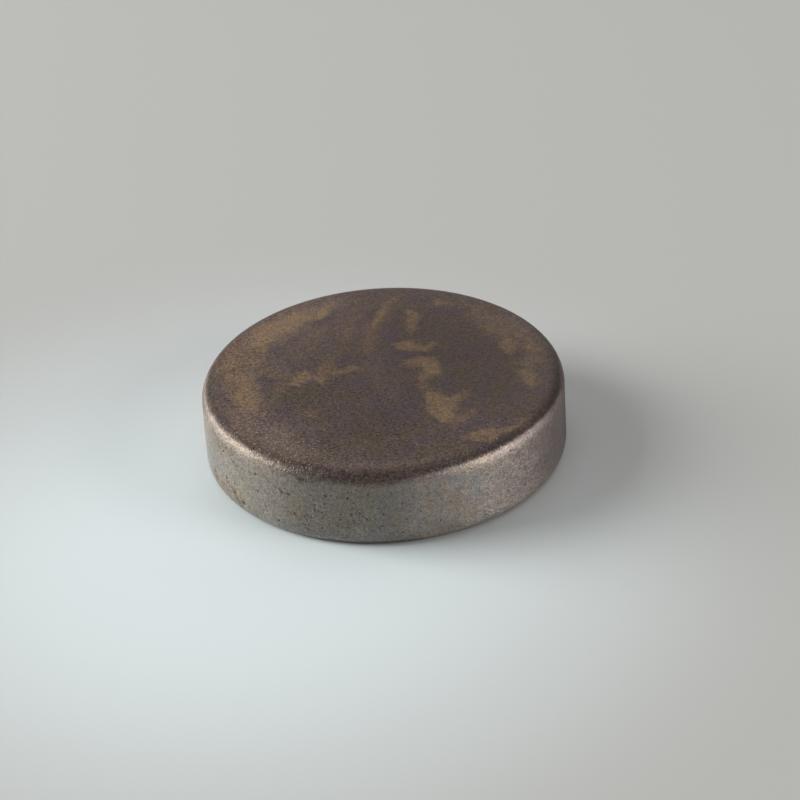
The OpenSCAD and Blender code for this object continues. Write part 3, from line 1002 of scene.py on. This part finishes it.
# %% Group: peppered
peppered, given, gives = group("peppered", ["Mask"], Spacing=0.3 * MM, Radius=0.25, Share=0.5)
scale = maths(peppered, "DIVIDE", 1.0, given["Spacing"])
cells = add(peppered, "ShaderNodeTexVoronoi", Vector=given["Place"], Scale=scale, Randomness=1.0)
chance = add(peppered, "ShaderNodeSeparateColor", _0=cells.outputs["Color"]).outputs
chosen = maths(peppered, "LESS_THAN", chance[0], given["Share"])
reach = maths(peppered, "MULTIPLY", given["Radius"], maths(peppered, "ADD", chance[1], 0.4))
spot = ramp(peppered, cells.outputs["Distance"], maths(peppered, "MULTIPLY", reach, 0.4), reach, 1.0, 0.0)
plug(peppered, maths(peppered, "MULTIPLY", spot, chosen), gives["Mask"])
print("group:", peppered.name)

# %% [markdown]
# ## The metal
#
# One finish for the whole disc, built up in the order in which it came about: bare satin metal, the
# brown-black film, the violet, brown and golden stains in the film, and last the dark dirt in pits and
# specks. Painted light goes in as well: the bare metal carries a painted sheen and a painted reflection of
# the blue-green floor low on the wall, the film painted light towards the left and painted shade on the
# rim, and bright grains near the edge of the face are painted glints. The film is a thin oxide, so it is a
# little less metallic than the bare metal under it.
#
# Each layer mixes a colour into the last one by a mask. Eased values come with four numbers: two ends of a
# pattern or a mask, and what they turn into.

# %% Metal colours
BARE = (0.346, 0.302, 0.262)
BARE_ROSE = (0.352, 0.292, 0.284)
BARE_BLUE = (0.268, 0.284, 0.306)
WARMTH = (1.06, 0.98, 0.86)
WARMER, COOLER = (1.014, 1.0, 0.965), (0.982, 1.0, 1.032)
OLIVE, LEADEN = (1.01, 1.005, 0.96), (0.985, 1.0, 1.03)
FILM = (0.157, 0.117, 0.106)
FILM_OLIVE = (0.135, 0.112, 0.077)
FILM_VIOLET = (0.138, 0.105, 0.120)
FILM_PALE = (0.212, 0.165, 0.146)
FILM_WARM = (0.252, 0.188, 0.146)
PAINTED_GLINT_COLOUR = (0.560, 0.500, 0.460)
GOLD_TONE = (0.322, 0.226, 0.138)
BROWN_TONE = (0.240, 0.158, 0.110)
RUST_TONE = (0.150, 0.090, 0.058)
DIRT = (0.094, 0.058, 0.037)

metal = bpy.data.materials.new("magnet_metal")
metal.use_nodes = True
tree = metal.node_tree
shader = tree.nodes["Principled BSDF"]
place = add(tree, "ShaderNodeTexCoord").outputs["Object"]
eased, layered = functools.partial(ramp, tree), functools.partial(layer, tree)
times, plus, less = (functools.partial(maths, tree, kind) for kind in ("MULTIPLY", "ADD", "SUBTRACT"))


def field(name):
    """One of the skin's fields, as a socket."""
    return add(tree, "ShaderNodeAttribute", attribute_name=name).outputs["Fac"]


def use(made, **values):
    """Results of a node group in the metal's tree; values are numbers or sockets for its inputs."""
    return add(tree, "ShaderNodeGroup", node_tree=made, Place=place, **values).outputs


print("base colours: bare", BARE, "film", FILM)

# %% Masks of the stains
OUTLINES = {  # how far each outline is frayed, and how soft it is
    "film": (0.26, 0.38),
    "gold": (0.38, 0.38),
    "brown": (0.4, 0.5),
    "violet": (0.4, 0.45),
    "pale": (0.5, 0.5),
    "warm": (0.6, 0.5),
    "nick": (0.34, 0.22),
}
film, gold, brown, violet, pale, warm, nick = (
    use(sharpened, Field=field(name), Fray=fray, Softness=soft)["Mask"]
    for name, (fray, soft) in OUTLINES.items()
)
print("masks:", list(OUTLINES))

# %% Patterns of chance
mottle = speckle(tree, place, 0.5 * MM, 3.0, 0.6)
dapple = speckle(tree, place, 1.0 * MM, 4.0, 0.62)
zones = speckle(tree, place, 2.0 * MM, 4.0, 0.6)
tall = vectors(tree, "MULTIPLY", place, (1.0, 1.0, 0.3))
streaks = speckle(tree, tall.outputs[0], 0.7 * MM, 3.0, 0.6)
grains = use(sand, Size=0.065 * MM)
# bright spots for the painted glints
painted_glint_spots = use(peppered, Spacing=0.12 * MM, Radius=0.42, Share=0.42)["Mask"]
print("patterns: mottle, dapple, zones, streaks, grains")

# %% Mask of the specks
speck_gap = add(tree, "ShaderNodeAttribute", attribute_name="to_speck").outputs["Vector"]
speck_gap = add(tree, "ShaderNodeSeparateXYZ", _0=speck_gap).outputs
across, along = (maths(tree, "POWER", maths(tree, "ABSOLUTE", speck_gap[k]), 2.0) for k in range(2))
away = maths(tree, "DIVIDE", maths(tree, "SQRT", plus(across, along)), speck_gap[2])
away = plus(away, eased(speckle(tree, place, 0.08 * MM, 1.0), 0.3, 0.7, -0.3, 0.3))
drawn_specks = maths(tree, "MAXIMUM", nick, eased(away, 0.3, 0.95, 1.0, 0.0))
tiny_specks = use(peppered, Spacing=0.22 * MM, Radius=0.27, Share=0.5)["Mask"]
crowded = times(field("spotty"), eased(mottle, 0.38, 0.6, 0.3, 1.0))
specks = maths(tree, "MAXIMUM", drawn_specks, times(tiny_specks, crowded))
specks = times(specks, eased(less(1.0, film), 0.0, 1.0, 0.3, 1.0))
print("masks: drawn and tiny specks")

# %% Colour of the bare metal
patchy = eased(field("rosy"), 0.0, 1.0, 1.0, 0.5)
bare = layered(BARE, BARE_ROSE, field("rosy"))
# the violet mask's blue-grey on the wall: partly a painted reflection of the blue-green floor low on the
# wall and far left
bare = layered(bare, BARE_BLUE, times(violet, 0.7))
bare = layered(bare, WARMTH, times(warm, 0.8), "MULTIPLY")
bare = layered(bare, layered(WARMER, COOLER, eased(streaks, 0.38, 0.62)), patchy, "MULTIPLY")
bare = layered(bare, eased(mottle, 0.3, 0.7, 0.93, 1.07), 1.0, "MULTIPLY")
bare = layered(bare, layered(OLIVE, LEADEN, eased(zones, 0.38, 0.62)), patchy, "MULTIPLY")
# painted sheen: the painted reflections and highlights of the bare wall and rims
bare = layered(bare, field("painted_sheen"), 1.0, "MULTIPLY")
bare = layered(bare, RUST_TONE, times(brown, 0.6))
print("bare metal: rosy, blue, warm, patchy, polished, rusty")

# %% Colour of the film
coat = layered(FILM, FILM_OLIVE, eased(mottle, 0.44, 0.6))
coat = layered(coat, FILM_VIOLET, eased(dapple, 0.48, 0.6, 0.0, 0.65))
coat = layered(coat, eased(mottle, 0.3, 0.7, 0.94, 1.06), 1.0, "MULTIPLY")
for tint, mask, strength in (
    (FILM_WARM, warm, eased(mottle, 0.3, 0.7, 0.95, 0.55)),
    (FILM_OLIVE, field("olive"), 0.8),
    (FILM_PALE, pale, 0.8),
    (FILM_VIOLET, violet, 0.9),
    (BROWN_TONE, brown, 0.8),
    (GOLD_TONE, gold, eased(mottle, 0.34, 0.6, 0.55, 0.95)),
):
    coat = layered(coat, tint, times(mask, strength))
# tone: the film's lightness, with painted light towards the left and painted shade on the rim
coat = layered(coat, field("tone"), 1.0, "MULTIPLY")
print("film: mottled, warm, olive, pale, violet, brown, gold")

# %% Grains, painted glints and dirt
grit = field("grit")
grain_reach = times(eased(grit, 0.0, 1.0, 0.34, 0.60), eased(film, 0.0, 1.0, 0.65, 1.0))
grain_reach = times(grain_reach, eased(gold, 0.0, 1.0, 1.0, 0.85))
shading = eased(grains["Tone"], 0.3, 0.7, less(1.0, grain_reach), plus(1.0, grain_reach))
colour = layered(layered(bare, coat, film), shading, 1.0, "MULTIPLY")
# painted glints: bright grains painted into the colour near the edge of the face
colour = layered(colour, PAINTED_GLINT_COLOUR, times(painted_glint_spots, times(field("painted_glints"), 0.95)))
colour = layered(colour, DIRT, times(specks, 0.66))
plug(tree, colour, shader.inputs["Base Color"])
print("over both: grains, glints, dirt")

# %% Sheen and grain of the metal
rough = plus(eased(film, 0.0, 1.0, 0.46, 0.44), eased(mottle, 0.3, 0.7, -0.04, 0.04))
rough = plus(rough, times(specks, 0.25), clamp=True)
plug(tree, rough, shader.inputs["Roughness"])
plug(tree, eased(film, 0.0, 1.0, 1.0, 0.85), shader.inputs["Metallic"])
height = times(grains["Height"], eased(grit, 0.0, 1.0, 0.018, 0.033))
height = less(height, times(specks, 0.012))
bump = add(tree, "ShaderNodeBump", Strength=1.0, Distance=MM, Height=height)
plug(tree, bump.outputs["Normal"], shader.inputs["Normal"])
skin.data.materials.append(metal)
print("finish:", metal.name)

# %% The skin takes the disc's place
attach(skin, "root")
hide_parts("magnet")
